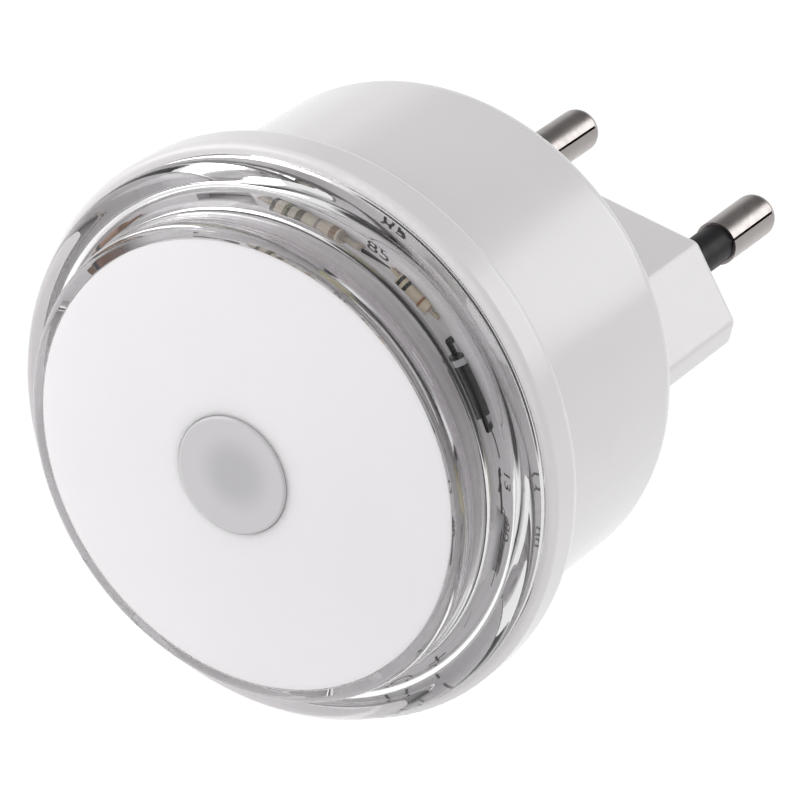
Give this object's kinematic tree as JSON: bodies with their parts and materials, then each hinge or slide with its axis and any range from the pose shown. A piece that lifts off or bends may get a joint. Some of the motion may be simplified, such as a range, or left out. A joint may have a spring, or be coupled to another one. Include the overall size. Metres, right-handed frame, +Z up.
{
  "type": "plug-in night light",
  "caption": "Round plug-in night light with a domed opal disc, clear stepped cover, white flanged housing and a six-sided two-pin plug block.",
  "frame": {"origin": "centre of the plug face, the flat end of the plug block that meets the socket", "axes": "+Y along the pins into the socket, +Z up, +X to the right when the lamp is seen from the room; the disc faces -Y"},
  "size_m": [0.0504, 0.0713, 0.0504],
  "materials": {
    "shell_white": "glossy white moulded housing",
    "clear_plastic": "clear polished moulding",
    "opal_plastic": "satin opal white diffuser",
    "window_grey": "grey translucent window",
    "board_white": "pale solder mask with dark print",
    "sensor_ceramic": "light-dependent resistor wafer",
    "tube_black": "black light shield",
    "led_lens": "clear lens over a yellow phosphor",
    "resistor_beige": "beige lacquer with colour bands",
    "component_black": "black moulded case",
    "zener_brown": "brown glass body",
    "resistor_green": "green flameproof coat",
    "film_orange": "orange dipped box",
    "can_sleeve": "dark printed sleeve over an aluminium can",
    "solder": "bright solder",
    "nickel": "nickel-plated rolled brass with a lengthwise seam",
    "sleeve_black": "satin black insulating sleeve",
    "retainer_white": "white moulded bar",
    "screw_steel": "zinc-plated steel",
    "lug_brass": "tinned brass",
    "wire_blue": "blue insulation",
    "wire_red": "red insulation"
  },
  "bodies": {
    "root": {"housing": "shell_white", "clear_cover": "clear_plastic", "face_disc": "opal_plastic", "sensor_window": "window_grey", "circuit_board": "board_white", "light_sensor": "sensor_ceramic", "sensor_tube": "tube_black", "led_1": "led_lens", "led_2": "led_lens", "led_3": "led_lens", "led_4": "led_lens", "resistor_long": "resistor_beige", "resistor_short": "resistor_beige", "rectifier_diode": "component_black", "zener_diode": "zener_brown", "transistor": "component_black", "fuse_resistor": "resistor_green", "film_capacitor": "film_orange", "smoothing_capacitor": "can_sleeve", "solder_joints": "solder", "pin_left": "nickel", "pin_right": "nickel", "pin_sleeve_left": "sleeve_black", "pin_sleeve_right": "sleeve_black", "pin_retainer": "retainer_white", "retainer_screws": "screw_steel", "lug_left": "lug_brass", "lug_right": "lug_brass", "wire_left": "wire_blue", "wire_right": "wire_red"}
  },
  "joints": []
}
